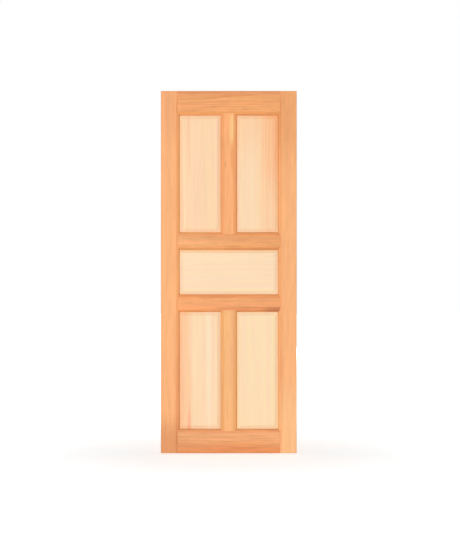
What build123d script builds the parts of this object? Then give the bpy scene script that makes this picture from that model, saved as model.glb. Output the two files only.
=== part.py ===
"""Five-panel timber exterior door leaf, in millimetres.

The stiles run the full height. The rails are coped over the stiles' moulded edges and the mullions
over the rails', each with a stub tenon in the panel groove and hidden dowels. The raised panels
float in the grooves. X runs from the hinge edge across the leaf, the front faces -Y, and the origin
is at the foot of the hinge edge, midway through the thickness.
"""

from build123d import *
import os

# Leaf
leaf_width = 750.0
leaf_height = 2000.0
leaf_thickness = 45.0
edge_radius = 1.5

# Members, each measured to the sight line where its moulded edge meets the panel
stile_width = 103.0
top_rail_width = 134.0
bottom_rail_width = 134.0
cross_rail_width = 97.0
mullion_width = 90.0
middle_panel_height = 246.0

# Moulded edge: a quirk, a ledge and a flattened ovolo on each face, and the panel groove between
quirk_depth = 3.0
ledge_width = 5.0
ovolo_width = 14.0
ovolo_depth = 11.0
groove_width = 12.0
groove_depth = 12.0
stub_end_gap = 1.0

# Raised panels, alike on both faces
panel_thickness = 30.0
panel_margin = 18.0
field_shoulder = 1.5
tongue_clearance = 0.2
tongue_float = 2.0
tongue_show = 1.0

# Dowels in the joints
dowel_diameter = 12.0
rail_dowel_length = 120.0
mullion_dowel_length = 80.0
end_rail_dowel_spacing = 70.0
cross_rail_dowel_spacing = 40.0
bore_clearance = 0.1
bore_end_gap = 1.5

# Cutters reach this far past the wood they cut
overcut = 1.0

# Sight lines, and the planes where stub tenons and dowels meet the bottom of a groove
tall_panel_height = (
    leaf_height - top_rail_width - bottom_rail_width - 2 * cross_rail_width - middle_panel_height
) / 2
lower_cross_low = bottom_rail_width + tall_panel_height
lower_cross_high = lower_cross_low + cross_rail_width
upper_cross_low = lower_cross_high + middle_panel_height
upper_cross_high = upper_cross_low + cross_rail_width
top_rail_low = leaf_height - top_rail_width
left_sight = stile_width
right_sight = leaf_width - stile_width
mullion_left = (leaf_width - mullion_width) / 2
mullion_right = mullion_left + mullion_width
left_groove = left_sight - groove_depth
right_groove = right_sight + groove_depth

right = (1, 0, 0)
left = (-1, 0, 0)
up = (0, 0, 1)
down = (0, 0, -1)
low_corner = (Align.MIN, Align.CENTER, Align.MIN)


def edge_waste():
    """Section of the wood cut from a moulded edge: X runs in from the sight line, Y through the leaf."""
    face = -leaf_thickness / 2
    ledge = face + quirk_depth
    ovolo_end = ledge + ovolo_depth
    arris = ovolo_width + ledge_width
    outline = [
        Line((arris, face - overcut), (arris, ledge)),
        Line((arris, ledge), (ovolo_width, ledge)),
        TangentArc((ovolo_width, ledge), (0, ovolo_end), tangent=(-1, 0)),
        Line((0, ovolo_end), (-overcut, ovolo_end)),
        Line((-overcut, ovolo_end), (-overcut, face - overcut)),
        Line((-overcut, face - overcut), (arris, face - overcut)),
    ]
    front = make_face(outline)
    back = mirror(front, Plane.XZ)
    groove = Pos((groove_depth - overcut) / 2, 0) * Rectangle(groove_depth + overcut, groove_width)
    return front + back + groove


def moulding_cut(start, into_wood, along, length):
    """The moulding cutters' path along one edge, from a point on its sight line."""
    return extrude(Plane(start, x_dir=into_wood, z_dir=along) * edge_waste(), length)


def make_left_stile():
    """A stile with its outer arrises eased and its inner edge moulded from end to end."""
    blank = Box(stile_width, leaf_thickness, leaf_height, align=low_corner)
    outer_arrises = blank.edges().filter_by(Axis.Z).group_by(Axis.X)[0]
    blank = fillet(outer_arrises, edge_radius)
    return blank - moulding_cut((left_sight, 0, -overcut), left, up, leaf_height + 2 * overcut)


def make_rail(low, high, moulded_below, moulded_above, stiles):
    """A rail whose ends reach into the stiles' grooves and are coped to the stiles' mouldings."""
    start = left_groove + stub_end_gap
    length = right_groove - stub_end_gap - start
    rail = Pos(start, 0, low) * Box(length, leaf_thickness, high - low, align=low_corner)
    if moulded_below:
        rail -= moulding_cut((start - overcut, 0, low), up, right, length + 2 * overcut)
    if moulded_above:
        rail -= moulding_cut((start - overcut, 0, high), down, right, length + 2 * overcut)
    for stile in stiles:
        rail -= stile
    return rail


def make_mullion(low, high, rails):
    """An upright between two sight lines, moulded on both edges and coped to the rails it meets."""
    start = low - groove_depth + stub_end_gap
    length = high + groove_depth - stub_end_gap - start
    mullion = Pos(mullion_left, 0, start) * Box(mullion_width, leaf_thickness, length, align=low_corner)
    mullion -= moulding_cut((mullion_left, 0, start - overcut), right, up, length + 2 * overcut)
    mullion -= moulding_cut((mullion_right, 0, start - overcut), left, up, length + 2 * overcut)
    for rail in rails:
        mullion -= rail
    return mullion


def make_panel(x_low, x_high, z_low, z_high):
    """A raised panel for the opening between four sight lines, with its tongue in the grooves."""
    width = x_high - x_low
    height = z_high - z_low
    tongue_reach = groove_depth - tongue_float
    tongue_thickness = groove_width - 2 * tongue_clearance
    bevel_thickness = panel_thickness - 2 * field_shoulder
    bevel_width = panel_margin - tongue_show
    bevel_drop = (bevel_thickness - tongue_thickness) / 2
    bevelled = Box(width - 2 * tongue_show, bevel_thickness, height - 2 * tongue_show)
    for side in (0, -1):
        face = bevelled.faces().sort_by(Axis.Y)[side]
        bevelled = chamfer(face.edges(), bevel_width, bevel_drop, reference=face)
    field = Box(width - 2 * panel_margin, panel_thickness, height - 2 * panel_margin)
    tongue = Box(width + 2 * tongue_reach, tongue_thickness, height + 2 * tongue_reach)
    middle = Pos((x_low + x_high) / 2, 0, (z_low + z_high) / 2)
    return middle * (tongue + bevelled + field)


def join_with_dowels(name, joints, length):
    """One node of dowels, each centred on a joint in blind bores in the two members that meet there."""
    dowels = Part()
    for place, first, second in joints:
        bore = place * Cylinder(dowel_diameter / 2 + bore_clearance, length + 2 * bore_end_gap)
        parts[first] -= bore
        parts[second] -= bore
        dowels += place * Cylinder(dowel_diameter / 2, length)
    parts[name] = dowels


def join_rail(rail, low, high, spacing):
    """A pair of dowels at each end of a rail, spaced about the middle of the wood between its edges."""
    heights = [(low + high - spacing) / 2, (low + high + spacing) / 2]
    for side, groove in (("left", left_groove), ("right", right_groove)):
        places = [Pos(groove, 0, height) * Rot(0, 90, 0) for height in heights]
        joints = [(place, rail, f"{side}_stile") for place in places]
        join_with_dowels(f"{rail}_{side}_dowels", joints, rail_dowel_length)


def join_mullion(mullion, low, high, lower_rail, upper_rail):
    """One dowel at each end of a mullion, on its middle line."""
    lower_joint = (Pos(leaf_width / 2, 0, low - groove_depth), mullion, lower_rail)
    upper_joint = (Pos(leaf_width / 2, 0, high + groove_depth), mullion, upper_rail)
    join_with_dowels(f"{mullion}_dowels", [lower_joint, upper_joint], mullion_dowel_length)


parts = {}

# Stiles
parts["left_stile"] = make_left_stile()
parts["right_stile"] = mirror(parts["left_stile"], Plane.YZ.offset(leaf_width / 2))
stiles = [parts["left_stile"], parts["right_stile"]]

# Rails
parts["bottom_rail"] = make_rail(0, bottom_rail_width, False, True, stiles)
parts["lower_cross_rail"] = make_rail(lower_cross_low, lower_cross_high, True, True, stiles)
parts["upper_cross_rail"] = make_rail(upper_cross_low, upper_cross_high, True, True, stiles)
parts["top_rail"] = make_rail(top_rail_low, leaf_height, True, False, stiles)

# Mullions
lower_rails = [parts["bottom_rail"], parts["lower_cross_rail"]]
upper_rails = [parts["upper_cross_rail"], parts["top_rail"]]
parts["lower_mullion"] = make_mullion(bottom_rail_width, lower_cross_low, lower_rails)
parts["upper_mullion"] = make_mullion(upper_cross_high, top_rail_low, upper_rails)

# Panels
parts["lower_left_panel"] = make_panel(left_sight, mullion_left, bottom_rail_width, lower_cross_low)
parts["lower_right_panel"] = make_panel(mullion_right, right_sight, bottom_rail_width, lower_cross_low)
parts["middle_panel"] = make_panel(left_sight, right_sight, lower_cross_high, upper_cross_low)
parts["upper_left_panel"] = make_panel(left_sight, mullion_left, upper_cross_high, top_rail_low)
parts["upper_right_panel"] = make_panel(mullion_right, right_sight, upper_cross_high, top_rail_low)

# Dowels
join_rail("bottom_rail", 0, bottom_rail_width - groove_depth, end_rail_dowel_spacing)
join_rail("lower_cross_rail", lower_cross_low, lower_cross_high, cross_rail_dowel_spacing)
join_rail("upper_cross_rail", upper_cross_low, upper_cross_high, cross_rail_dowel_spacing)
join_rail("top_rail", top_rail_low + groove_depth, leaf_height, end_rail_dowel_spacing)
join_mullion("lower_mullion", bottom_rail_width, lower_cross_low, "bottom_rail", "lower_cross_rail")
join_mullion("upper_mullion", upper_cross_high, top_rail_low, "upper_cross_rail", "top_rail")

os.makedirs("parts", exist_ok=True)
for name, part in parts.items():
    export_step(part, f"parts/{name}.step")
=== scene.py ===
import math
from collections import namedtuple

import bpy
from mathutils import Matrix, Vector


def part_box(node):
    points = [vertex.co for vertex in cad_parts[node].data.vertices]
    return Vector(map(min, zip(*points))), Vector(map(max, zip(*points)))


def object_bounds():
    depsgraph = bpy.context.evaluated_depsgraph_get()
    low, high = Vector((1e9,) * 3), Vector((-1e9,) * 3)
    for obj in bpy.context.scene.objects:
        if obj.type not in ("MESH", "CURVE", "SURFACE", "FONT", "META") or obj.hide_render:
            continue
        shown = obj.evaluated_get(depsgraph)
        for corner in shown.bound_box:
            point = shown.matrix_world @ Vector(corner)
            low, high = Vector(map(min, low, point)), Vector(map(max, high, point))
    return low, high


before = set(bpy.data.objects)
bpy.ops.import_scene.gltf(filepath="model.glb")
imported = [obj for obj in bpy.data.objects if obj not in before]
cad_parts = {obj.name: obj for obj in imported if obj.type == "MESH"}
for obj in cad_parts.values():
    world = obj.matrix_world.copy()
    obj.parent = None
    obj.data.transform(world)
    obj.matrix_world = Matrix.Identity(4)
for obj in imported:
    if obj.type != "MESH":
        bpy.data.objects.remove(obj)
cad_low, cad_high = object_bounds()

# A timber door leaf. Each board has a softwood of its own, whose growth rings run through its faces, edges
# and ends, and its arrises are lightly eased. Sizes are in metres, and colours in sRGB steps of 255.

# The photograph's frame, where the middle of the leaf's face lies in it, and its scale there
PHOTO_WIDTH, PHOTO_HEIGHT = 460, 544
LEAF_PIXEL_X, LEAF_PIXEL_Y = 228.8, 272.1
METRES_PER_PIXEL = 0.00552
CAMERA_DISTANCE = 9.0
SENSOR_HEIGHT = 36.0

# What the parts of the wood do to a board's colour, as linear factors
EARLYWOOD = (1.02, 1.04, 1.05)
LATEWOOD = (0.84, 0.66, 0.5)
PINK_WOOD = (1.0, 0.97, 0.99)
YELLOW_WOOD = (1.0, 1.02, 0.955)
BROWN_WOOD = (0.88, 0.84, 0.82)
END_GRAIN = (0.69, 0.55, 0.45)
# The next two are painted shade in the mouldings: at the quirk, and deeper in the hollow beside the panels.
# The third darkens the leaf's outer arrises.
MOULDING_SHADE = (0.95, 0.88, 0.78)
HOLLOW_SHADE = (0.83, 0.86, 0.84)
OUTER_ARRIS_TINT = (0.78, 0.83, 0.88)

# Noise in the wood: the width of its marks across the grain, their length along it, a shift that sets it
# apart from the other noise, its detail and its roughness
Noise = namedtuple("Noise", "width length shift detail roughness", defaults=(2.0, 0.5))
RING_BEND = Noise(0.12, 1.0, 3.0)
RING_RIPPLE = Noise(0.03, 0.35, 7.0)
RING_CLUSTERS = Noise(0.022, 1.2, 61.0, 3.0)
BROAD_STREAKS = Noise(0.035, 0.9, 13.0, 4.0, 0.6)
NARROW_STREAKS = Noise(0.009, 0.16, 17.0, 3.0, 0.6)
HUE_STREAKS = Noise(0.024, 1.1, 23.0, 3.0, 0.55)
BROWN_PATCHES = Noise(0.016, 0.1, 71.0, 3.0, 0.6)
FIBRES = Noise(0.0006, 0.022, 31.0, 2.0, 0.6)
RESIN_CANALS = Noise(0.0006, 0.008, 41.0, 1.0)
MARK_BEND = Noise(0.08, 0.5, 53.0)

# The stretch of each noise, from 0 to 1, over which what it steers goes from low to high
STREAK_STRETCH = (0.25, 0.75)
HUE_STRETCH = (0.3, 0.7)
PATCH_STRETCH = (0.45, 0.65)
FIBRE_STRETCH = (0.2, 0.8)
CANAL_STRETCH = (0.7, 0.8)

# How far one step of a board's seed moves it in the noise, in the pace of its rings and in their strength
NOISE_SEED_STEPS = (17.3, 5.1, 11.9)
PACE_SEED_STEP = 3.7
STRENGTH_SEED_STEP = 31.0

# Growth rings: how far they bend and ripple, how much the tree's radius changes for each metre along the
# board, and how often and by how many years their pace changes
RING_BEND_REACH = 0.009
RING_RIPPLE_REACH = 0.0008
TREE_TAPER = 0.005
PACE_CHANGES_PER_YEAR = 0.35
PACE_REACH = 1.6

# Latewood: the shares of a year where it comes in and where it ends, and the strengths of its rings
LATEWOOD_RISE = (0.3, 0.9)
LATEWOOD_FALL = (0.92, 1.0)
RING_STRENGTHS = (0.35, 1.0)
CLUSTER_STRENGTHS = (0.35, 1.65)

# End grain shows from the first to the second of these cosines between the surface's normal and the grain
END_GRAIN_COSINES = (0.5, 0.95)

# Tones of the fibres and of the resin canals
FIBRE_TONES = (0.965, 1.035)
CANAL_TONE = 0.86

# Depths below a member's face over which painted shade darkens its moulding, first at the quirk and then by
# the panel.
# Nearer than this to the leaf's outer edges there is no moulding.
QUIRK_DEPTHS = (0.0005, 0.0014)
HOLLOW_DEPTHS = (0.004, 0.013)
MOULDED_FROM_EDGE = (0.05, 0.06)

# How far in from the leaf's outer arrises they are darkened
OUTER_ARRIS_WIDTH = 0.005

# The finish
PLAIN_ROUGHNESS = 0.56
LATEWOOD_ROUGHNESS = 0.48
END_GRAIN_ROUGHNESS = 0.8
ROUGHNESS_SPREAD = 0.05
SPECULAR_LEVEL = 0.3
RELIEF_HEIGHT = 0.0002
RELIEF_STRENGTH = 0.25
LATEWOOD_RELIEF = 0.5
FIBRE_RELIEF = 0.4
CANAL_RELIEF = -0.6

# Eased arrises
WELD_DISTANCE = 0.00002
ARRIS_WIDTH = 0.0005
ARRIS_SEGMENTS = 2
ARRIS_ANGLE = math.radians(35)
SMOOTH_ANGLE = math.radians(20)
NORMAL_WEIGHT = 60

# The floor: its size, colour and roughness, and its glow, which rises from the first strength to the second
# between two distances from the leaf's foot
# The weaker glow near the leaf's foot is painted shade.
FLOOR_SIZE = 60.0
FLOOR_COLOUR = (236, 236, 236)
FLOOR_ROUGHNESS = 0.9
FLOOR_GLOW = (0.52, 1.0)
GLOW_DISTANCES = (0.3, 2.6)

# The light all round, at the horizon and overhead, and how much stronger it is from the sides
HORIZON_LIGHT, ZENITH_LIGHT = 0.5, 0.2
SIDE_GAIN = 2.0

# The softboxes: how far aside and away from the leaf's middle they stand, and their height, size and power
SOFTBOX_ASIDE, SOFTBOX_AWAY, SOFTBOX_HEIGHT = 3.0, 12.0, 0.4
SOFTBOX_SIZE = (4.0, 0.7)
SOFTBOX_POWER = 725.0

WHITE = (1.0, 1.0, 1.0)

leaf_middle = (cad_low + cad_high) / 2

# A soft mark in a board: its middle along and across the grain from the board's middle, its half length
# and half width, its colour and its strength. It bends by a share of its width, and fades between two shares
# of the way from its middle to its edge.
Mark = namedtuple("Mark", "run across length width colour strength")
MARK_BEND_SHARE = 0.4
MARK_FADE = (0.3, 1.0)


def linear(colour):
    """An sRGB colour in steps of 255 as a linear one."""
    parts = [step / 255 for step in colour]
    return tuple(c / 12.92 if c <= 0.04045 else ((c + 0.055) / 1.055) ** 2.4 for c in parts)


class Graph:
    """Shader nodes, added to one node tree and wired up as they are made."""

    def __init__(self, tree):
        self.tree = tree

    def feed(self, socket, value):
        """Joins a socket to another or sets it. A colour is three linear parts."""
        if isinstance(value, bpy.types.NodeSocket):
            self.tree.links.new(value, socket)
        elif socket.type == "RGBA":
            socket.default_value = (*value, 1.0)
        else:
            socket.default_value = value

    def node(self, kind, *values, **settings):
        """A node with its settings and its first inputs in order."""
        node = self.tree.nodes.new("ShaderNode" + kind)
        for name, setting in settings.items():
            setattr(node, name, setting)
        for socket, value in zip(node.inputs, values):
            self.feed(socket, value)
        return node

    def fill(self, node, **values):
        """Feeds a node's inputs by name."""
        for name, value in values.items():
            self.feed(node.inputs[name.replace("_", " ")], value)
        return node

    def math(self, operation, first, *others):
        """One operation over all its values, taken two at a time."""
        result = first
        for other in others or (0.0,):
            result = self.node("Math", result, other, operation=operation).outputs[0]
        return result

    def vector(self, operation, *values):
        """One operation on vectors."""
        node = self.node("VectorMath", *values, operation=operation)
        return node.outputs["Value" if operation in ("LENGTH", "DOT_PRODUCT") else "Vector"]

    def noise(self, place, detail, roughness):
        """Noise from 0 to 1 with features about one unit of place across."""
        node = self.node("TexNoise")
        self.fill(node, Vector=place, Scale=1.0, Detail=detail, Roughness=roughness)
        return node.outputs[0]

    def ramp(self, value, start, end, low=0.0, high=1.0):
        """A smooth step from low to high as the value goes from start to end."""
        node = self.node("MapRange", value, start, end, low, high, interpolation_type="SMOOTHSTEP")
        return node.outputs[0]

    def line(self, value, start, end, low, high):
        """A straight change from low to high as the value goes from start to end."""
        return self.node("MapRange", value, start, end, low, high).outputs[0]

    def mix(self, share, first, second):
        """A mix of two colours, with this share of the second."""
        node = self.node("Mix", data_type="RGBA")
        for index, value in ((0, share), (6, first), (7, second)):
            self.feed(node.inputs[index], value)
        return node.outputs[2]

    def tint(self, colour, share, factor):
        """A colour multiplied by a share of a factor."""
        return self.vector("MULTIPLY", colour, self.mix(share, WHITE, factor))

    def combine(self, x, y, z):
        """A vector of three parts."""
        return self.node("CombineXYZ", x, y, z).outputs[0]

    def separate(self, vector):
        """The three parts of a vector."""
        return self.node("SeparateXYZ", vector).outputs


def new_material(name):
    """A material, the graph of its nodes and its shader."""
    material = bpy.data.materials.new(name)
    material.use_nodes = True
    return material, Graph(material.node_tree), material.node_tree.nodes["Principled BSDF"]


class Board:
    """Places within one board: across its face, through it and along its grain, from its middle."""

    def __init__(self, graph, node, along, seed):
        low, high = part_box(node)
        middle, half = (low + high) / 2, (high - low) / 2
        length_axis, width_axis = (2, 0) if along == "Z" else (0, 2)
        self.graph = graph
        self.seed = seed
        self.half_length, self.half_thickness = half[length_axis], half[1]
        self.grain = (0.0, 0.0, 1.0) if along == "Z" else (1.0, 0.0, 0.0)
        self.leaf_place = graph.node("TexCoord").outputs["Object"]
        axes = graph.separate(graph.vector("SUBTRACT", self.leaf_place, tuple(middle)))
        self.run, self.across, self.through = axes[length_axis], axes[width_axis], axes[1]
        self.place = graph.combine(self.across, self.through, self.run)

    def noise(self, pattern):
        """Noise from 0 to 1 in this pattern."""
        scale = (1 / pattern.width, 1 / pattern.width, 1 / pattern.length)
        x, y, z = [self.seed * step for step in NOISE_SEED_STEPS]
        offset = (x + pattern.shift, y - pattern.shift, z)
        place = self.graph.vector("ADD", self.graph.vector("MULTIPLY", self.place, scale), offset)
        return self.graph.noise(place, pattern.detail, pattern.roughness)

    def swing(self, pattern, reach):
        """Such noise, as a change of at most reach either way."""
        return self.graph.line(self.noise(pattern), 0.0, 1.0, -reach, reach)


def growth_rings(board, pith, ring):
    """How far each spot is latewood, from 0 to 1, in rings about the pith."""
    graph = board.graph
    from_pith = graph.vector("SUBTRACT", board.place, (*pith, 0.0))
    flat = graph.vector("MULTIPLY", from_pith, (1.0, 1.0, 0.0))
    radius = graph.math("ADD", graph.vector("LENGTH", flat), board.swing(RING_BEND, RING_BEND_REACH),
                        board.swing(RING_RIPPLE, RING_RIPPLE_REACH),
                        graph.math("MULTIPLY", board.run, TREE_TAPER))
    years = graph.math("DIVIDE", radius, ring)
    pace_place = graph.combine(graph.math("MULTIPLY", years, PACE_CHANGES_PER_YEAR),
                               board.seed * PACE_SEED_STEP, 0.5)
    pace = graph.noise(pace_place, 1.0, 0.5)
    years = graph.math("ADD", years, graph.math("MULTIPLY", pace, PACE_REACH))
    season = graph.math("FRACT", years)
    chance = graph.node("TexWhiteNoise", noise_dimensions="1D")
    graph.fill(chance, W=graph.math("ADD", graph.math("FLOOR", years), board.seed * STRENGTH_SEED_STEP))
    rise = graph.ramp(season, *LATEWOOD_RISE)
    fall = graph.ramp(season, *LATEWOOD_FALL, 1.0, 0.0)
    strength = graph.line(chance.outputs[0], 0.0, 1.0, *RING_STRENGTHS)
    return graph.math("MULTIPLY", rise, fall, strength)


def marked(board, base, marks):
    """The board's colour with its soft marks."""
    graph = board.graph
    for mark in marks:
        bend = board.swing(MARK_BEND, mark.width * MARK_BEND_SHARE)
        far_run = graph.math("DIVIDE", graph.math("SUBTRACT", board.run, mark.run), mark.length)
        far_across = graph.math("SUBTRACT", graph.math("ADD", board.across, bend), mark.across)
        far_across = graph.math("DIVIDE", far_across, mark.width)
        reach = graph.vector("LENGTH", graph.combine(far_run, far_across, 0.0))
        base = graph.mix(graph.ramp(reach, *MARK_FADE, mark.strength, 0.0), base, linear(mark.colour))
    return base


def moulding_shade_and_dark_arrises(board, surface):
    """A frame member's colour, with painted shade in its mouldings, deepest in the hollow beside the panels,
    and darker along the leaf's outer arrises."""
    graph = board.graph
    x, _, z = graph.separate(board.leaf_place)
    from_sides = (graph.math("SUBTRACT", x, cad_low.x), graph.math("SUBTRACT", cad_high.x, x))
    from_ends = (graph.math("SUBTRACT", z, cad_low.z), graph.math("SUBTRACT", cad_high.z, z))
    from_edge = graph.math("MINIMUM", *from_sides, *from_ends)
    depth = graph.math("SUBTRACT", board.half_thickness, graph.math("ABSOLUTE", board.through))
    moulded_depth = graph.math("MULTIPLY", depth, graph.ramp(from_edge, *MOULDED_FROM_EDGE))
    outer_arris = graph.math("MULTIPLY", graph.ramp(from_edge, 0.0, OUTER_ARRIS_WIDTH, 1.0, 0.0),
                         graph.ramp(depth, 0.0, OUTER_ARRIS_WIDTH, 1.0, 0.0))
    # Painted shade: the moulding is darker at its quirk and most in the hollow beside the panel, where shade
    # falls
    surface = graph.tint(surface, graph.ramp(moulded_depth, *QUIRK_DEPTHS), MOULDING_SHADE)
    surface = graph.tint(surface, graph.ramp(moulded_depth, *HOLLOW_DEPTHS), HOLLOW_SHADE)
    return graph.tint(surface, outer_arris, OUTER_ARRIS_TINT)


def wood(node, along, colour, seed, pith, ring=0.003, contrast=0.5, mottle=0.1, brown=0.0, ends=(1.0, 1.0),
         marks=()):
    """Softwood for one board. along is the axis that its grain follows; pith is how far the middle of the
    tree lies from the middle of the board, across its face and through it; ring is the width of a year's
    growth; contrast and mottle are the strengths of its latewood and of its streaks; brown is the strength
    of its brown patches; ends are the tones at its low and high ends."""
    material, graph, shader = new_material(node + "_wood")
    board = Board(graph, node, along, seed)
    late = growth_rings(board, pith, ring)
    fibre = board.noise(FIBRES)
    canals = graph.ramp(board.noise(RESIN_CANALS), *CANAL_STRETCH)
    facing = graph.vector("DOT_PRODUCT", graph.node("NewGeometry").outputs["Normal"], board.grain)
    end_grain = graph.ramp(graph.math("ABSOLUTE", facing), *END_GRAIN_COSINES)

    # Colour: marks, rings, pink, yellow and brown streaks, end grain, and on frame members painted shade in
    # the mouldings and darker outer arrises
    cluster_range = [strength * contrast for strength in CLUSTER_STRENGTHS]
    clusters = graph.line(board.noise(RING_CLUSTERS), *STREAK_STRETCH, *cluster_range)
    hue = graph.ramp(board.noise(HUE_STREAKS), *HUE_STRETCH)
    surface = marked(board, linear(colour), marks)
    ring_tint = graph.mix(graph.math("MULTIPLY", late, clusters), EARLYWOOD, LATEWOOD)
    surface = graph.vector("MULTIPLY", surface, ring_tint)
    surface = graph.vector("MULTIPLY", surface, graph.mix(hue, PINK_WOOD, YELLOW_WOOD))
    patches = graph.ramp(board.noise(BROWN_PATCHES), *PATCH_STRETCH, 0.0, brown)
    surface = graph.tint(surface, patches, BROWN_WOOD)
    surface = graph.tint(surface, end_grain, END_GRAIN)
    if node.endswith(("_stile", "_rail", "_mullion")):
        surface = moulding_shade_and_dark_arrises(board, surface)

    # Tone: streaks, fibres, resin canals and the drift from end to end
    streak_tones = (1.0 - mottle, 1.0 + mottle)
    broad = graph.line(board.noise(BROAD_STREAKS), *STREAK_STRETCH, *streak_tones)
    narrow = graph.line(board.noise(NARROW_STREAKS), *STREAK_STRETCH, *streak_tones)
    threads = graph.line(fibre, *FIBRE_STRETCH, *FIBRE_TONES)
    dashes = graph.line(canals, 0.0, 1.0, 1.0, CANAL_TONE)
    drift = graph.line(board.run, -board.half_length, board.half_length, *ends)
    toned = graph.node("VectorMath", surface, operation="SCALE")
    graph.fill(toned, Scale=graph.math("MULTIPLY", broad, narrow, threads, dashes, drift))

    # Finish: smoother latewood that stands a little proud, rough end grain
    sheen = graph.math("ADD", graph.line(late, 0.0, 1.0, PLAIN_ROUGHNESS, LATEWOOD_ROUGHNESS),
                       graph.line(fibre, *FIBRE_STRETCH, -ROUGHNESS_SPREAD, ROUGHNESS_SPREAD))
    roughness = graph.line(end_grain, 0.0, 1.0, sheen, END_GRAIN_ROUGHNESS)
    relief = graph.math("ADD", graph.math("MULTIPLY", late, LATEWOOD_RELIEF),
                        graph.math("MULTIPLY", fibre, FIBRE_RELIEF),
                        graph.math("MULTIPLY", canals, CANAL_RELIEF))
    bump = graph.fill(graph.node("Bump"), Strength=RELIEF_STRENGTH, Distance=RELIEF_HEIGHT, Height=relief)
    graph.fill(shader, Base_Color=toned.outputs[0], Roughness=roughness, Specular_IOR_Level=SPECULAR_LEVEL,
               Normal=bump.outputs[0])
    return material


def ease(piece):
    """Joins a board's faces at their shared edges, rounds its arrises and shades it smooth between them."""
    weld = piece.modifiers.new("Weld", "WELD")
    weld.merge_threshold = WELD_DISTANCE
    bevel = piece.modifiers.new("Ease", "BEVEL")
    bevel.width = ARRIS_WIDTH
    bevel.segments = ARRIS_SEGMENTS
    bevel.limit_method = "ANGLE"
    bevel.angle_limit = ARRIS_ANGLE
    split = piece.modifiers.new("Split", "EDGE_SPLIT")
    split.split_angle = SMOOTH_ANGLE
    normals = piece.modifiers.new("Normals", "WEIGHTED_NORMAL")
    normals.weight = NORMAL_WEIGHT


def finish_wood(node, **look):
    """Gives a node its own wood."""
    piece = bpy.data.objects[node]
    piece.data.materials.clear()
    piece.data.materials.append(wood(node, **look))
    return piece


def dress(node, **look):
    """Gives a board its own wood and eases its arrises."""
    ease(finish_wood(node, **look))


def dress_stiles():
    """Orange heartwood, darker at the left stile's foot and at the right stile's head."""
    dress("left_stile", along="Z", colour=(252, 181, 122), seed=1, pith=(-0.32, 0.08), mottle=0.07,
          brown=0.2,
          marks=[Mark(-1.0, 0.0, 0.25, 0.2, (229, 156, 101), 1.0),
                 Mark(1.0, 0.0, 0.35, 0.2, (246, 173, 116), 0.9)])
    dress("right_stile", along="Z", colour=(253, 182, 124), seed=2, pith=(0.28, 0.1), ring=0.0032,
          mottle=0.07, brown=0.2,
          marks=[Mark(1.0, 0.0, 0.5, 0.3, (242, 168, 110), 1.0),
                 Mark(-0.93, 0.0, 0.42, 0.2, (255, 196, 138), 0.9)])


def dress_rails():
    """Orange heartwood with brown patches, darker along the leaf's head and foot."""
    dress("top_rail", along="X", colour=(247, 171, 109), seed=3, pith=(0.03, 0.12), ring=0.0034, brown=0.6,
          marks=[Mark(0.0, 0.07, 0.8, 0.05, (234, 155, 98), 0.9)])
    dress("upper_cross_rail", along="X", colour=(249, 176, 117), seed=4, pith=(-0.2, 0.1), mottle=0.12,
          brown=0.7, ends=(1.04, 0.96), marks=[Mark(0.18, 0.0, 0.35, 0.2, (244, 167, 107), 0.8)])
    dress("lower_cross_rail", along="X", colour=(249, 171, 111), seed=5, pith=(0.06, 0.14), contrast=0.7,
          brown=0.5, ends=(1.04, 0.96),
          marks=[Mark(0.12, -0.024, 0.3, 0.008, (224, 147, 93), 0.8),
                 Mark(0.27, -0.036, 0.12, 0.02, (212, 138, 89), 0.8)])
    dress("bottom_rail", along="X", colour=(242, 173, 120), seed=6, pith=(-0.04, 0.11), brown=0.5,
          ends=(0.98, 1.03),
          marks=[Mark(0.0, -0.067, 0.9, 0.08, (230, 147, 89), 1.0),
                 Mark(-0.16, -0.02, 0.2, 0.008, (218, 148, 103), 0.6)])


def dress_mullions():
    """Orange heartwood. A streak of sapwood runs down from the upper mullion's head."""
    dress("upper_mullion", along="Z", colour=(252, 178, 119), seed=7, pith=(0.2, 0.1), mottle=0.07,
          brown=0.2,
          marks=[Mark(0.25, 0.017, 0.13, 0.018, (253, 202, 137), 1.0),
                 Mark(0.08, 0.022, 0.12, 0.012, (242, 163, 102), 0.8),
                 Mark(0.05, -0.018, 0.03, 0.007, (224, 150, 96), 0.6)])
    dress("lower_mullion", along="Z", colour=(251, 187, 126), seed=8, pith=(-0.09, 0.1), contrast=0.6,
          mottle=0.07, brown=0.2)


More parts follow.
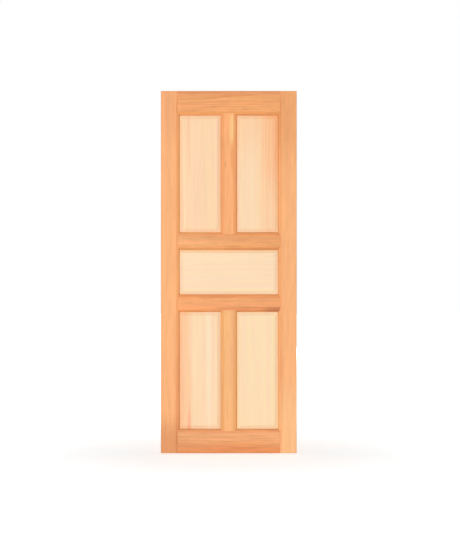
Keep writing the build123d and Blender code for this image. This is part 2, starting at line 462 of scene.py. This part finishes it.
def dress_panels():
    """Pale sapwood. The upper right panel has a side of heartwood, ruled with thin dark lines. The middle
    panel has painted shade along its top edge.
    """
    dress("upper_left_panel", along="Z", colour=(255, 215, 176), seed=11, pith=(-0.12, 0.2), ring=0.004,
          contrast=0.3, mottle=0.035, marks=[Mark(0.2, -0.062, 0.3, 0.013, (255, 203, 161), 0.6)])
    heartwood = [Mark(0.4, -0.05, 0.4, 0.3, (255, 209, 166), 0.8),
                 Mark(0.0, 0.08, 1.4, 0.1, (255, 212, 167), 1.0),
                 Mark(0.36, 0.11, 0.6, 0.12, (255, 190, 139), 1.0)]
    dark_lines = [Mark(0.1, across, 0.5, 0.005, (254, 188, 138), 0.5)
                  for across in (0.03, 0.047, 0.067, 0.084)]
    dress("upper_right_panel", along="Z", colour=(255, 220, 182), seed=12, pith=(0.13, 0.2), ring=0.004,
          contrast=0.4, mottle=0.03, marks=heartwood + dark_lines)
    # The middle panel's mark along its top edge is painted shade, cast by the rail above it.
    dress("middle_panel", along="X", colour=(255, 223, 187), seed=13, pith=(0.4, 0.25), contrast=0.2,
          mottle=0.025, marks=[Mark(0.0, 0.125, 2.0, 0.022, (255, 205, 155), 0.7)])
    dress("lower_left_panel", along="Z", colour=(255, 220, 182), seed=14, pith=(0.15, 0.2), ring=0.004,
          contrast=0.3, mottle=0.03,
          marks=[Mark(0.0, -0.1, 1.0, 0.07, (255, 203, 156), 0.9),
                 Mark(-0.33, -0.06, 0.2, 0.014, (254, 182, 142), 0.9),
                 Mark(0.0, 0.048, 0.9, 0.022, (255, 228, 196), 0.8)])
    dress("lower_right_panel", along="Z", colour=(255, 224, 183), seed=15, pith=(0.2, 0.25), contrast=0.2,
          mottle=0.025)


def dress_dowels():
    """Plain pale wood for the dowels, hidden in the joints."""
    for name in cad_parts:
        if name.endswith("_dowels"):
            finish_wood(name, along="Z" if "mullion" in name else "X", colour=(222, 184, 142), seed=21,
                        pith=(0.02, 0.03), ring=0.002, contrast=0.2)


def seen_directly(graph):
    """1 for rays from the camera, in a gloss or through glass, else 0."""
    rays = graph.node("LightPath").outputs
    return graph.math("MAXIMUM", rays["Is Camera Ray"], rays["Is Glossy Ray"], rays["Is Transmission Ray"])


def make_floor():
    """A pale floor that shows white. Its glow is weaker near the leaf, which paints a soft shade around the
    leaf's foot.
    """
    foot = (leaf_middle.x, leaf_middle.y, cad_low.z)
    bpy.ops.mesh.primitive_plane_add(size=FLOOR_SIZE, location=foot)
    floor = bpy.context.object
    floor.name = "floor"
    material, graph, paper = new_material("floor_paper")
    graph.fill(paper, Base_Color=linear(FLOOR_COLOUR), Roughness=FLOOR_ROUGHNESS, Specular_IOR_Level=0.0)
    from_leaf = graph.vector("LENGTH", graph.node("TexCoord").outputs["Object"])
    # Painted shade: the glow dims near the leaf's foot
    strength = graph.ramp(from_leaf, *GLOW_DISTANCES, *FLOOR_GLOW)
    glow = graph.fill(graph.node("Emission"), Strength=strength)
    bright = graph.node("AddShader", paper.outputs[0], glow.outputs[0])
    shown = graph.node("MixShader", seen_directly(graph), paper.outputs[0], bright.outputs[0])
    graph.feed(graph.tree.nodes["Material Output"].inputs["Surface"], shown.outputs[0])
    floor.data.materials.append(material)


def make_world():
    """Light from all round, weaker overhead and stronger from the sides, seen as white."""
    world = bpy.data.worlds.new("studio")
    bpy.context.scene.world = world
    world.use_nodes = True
    graph = Graph(world.node_tree)
    x, _, z = graph.separate(graph.node("TexCoord").outputs["Generated"])
    sideways = graph.line(graph.math("ABSOLUTE", x), 0.0, 1.0, 1.0, SIDE_GAIN)
    upwards = graph.line(z, 0.0, 1.0, HORIZON_LIGHT, ZENITH_LIGHT)
    light = graph.node("Background", WHITE, graph.math("MULTIPLY", upwards, sideways))
    backdrop = graph.node("Background", WHITE)
    shown = graph.node("MixShader", seen_directly(graph), light.outputs[0], backdrop.outputs[0])
    graph.feed(graph.tree.nodes["World Output"].inputs["Surface"], shown.outputs[0])


def softbox(name, place):
    """A flat lamp that faces the middle of the leaf."""
    lamp = bpy.data.lights.new(name, "AREA")
    lamp.shape = "RECTANGLE"
    lamp.size, lamp.size_y = SOFTBOX_SIZE
    lamp.energy = SOFTBOX_POWER
    lamp_object = bpy.data.objects.new(name, lamp)
    bpy.context.scene.collection.objects.link(lamp_object)
    lamp_object.location = place
    lamp_object.rotation_euler = (leaf_middle - Vector(place)).to_track_quat("-Z", "Y").to_euler()


def make_lights():
    """A low softbox to the left of the camera, its like behind the leaf, and light all round."""
    make_world()
    softbox("front_softbox", (leaf_middle.x - SOFTBOX_ASIDE, -SOFTBOX_AWAY, SOFTBOX_HEIGHT))
    softbox("back_softbox", (leaf_middle.x + SOFTBOX_ASIDE, SOFTBOX_AWAY, SOFTBOX_HEIGHT))


def make_camera():
    """A camera square to the leaf's front, framed as the photograph."""
    camera = bpy.data.cameras.new("camera")
    camera.sensor_fit = "VERTICAL"
    camera.sensor_height = SENSOR_HEIGHT
    camera.lens = SENSOR_HEIGHT * CAMERA_DISTANCE / (PHOTO_HEIGHT * METRES_PER_PIXEL)
    camera_object = bpy.data.objects.new("camera", camera)
    bpy.context.scene.collection.objects.link(camera_object)
    right = (PHOTO_WIDTH / 2 - LEAF_PIXEL_X) * METRES_PER_PIXEL
    up = (LEAF_PIXEL_Y - PHOTO_HEIGHT / 2) * METRES_PER_PIXEL
    camera_object.location = (leaf_middle.x + right, cad_low.y - CAMERA_DISTANCE, leaf_middle.z + up)
    camera_object.rotation_euler = (math.radians(90), 0.0, 0.0)
    bpy.context.scene.camera = camera_object


dress_stiles()
dress_rails()
dress_mullions()
dress_panels()
dress_dowels()
make_floor()
make_lights()
make_camera()
bpy.context.scene.view_settings.view_transform = "Standard"
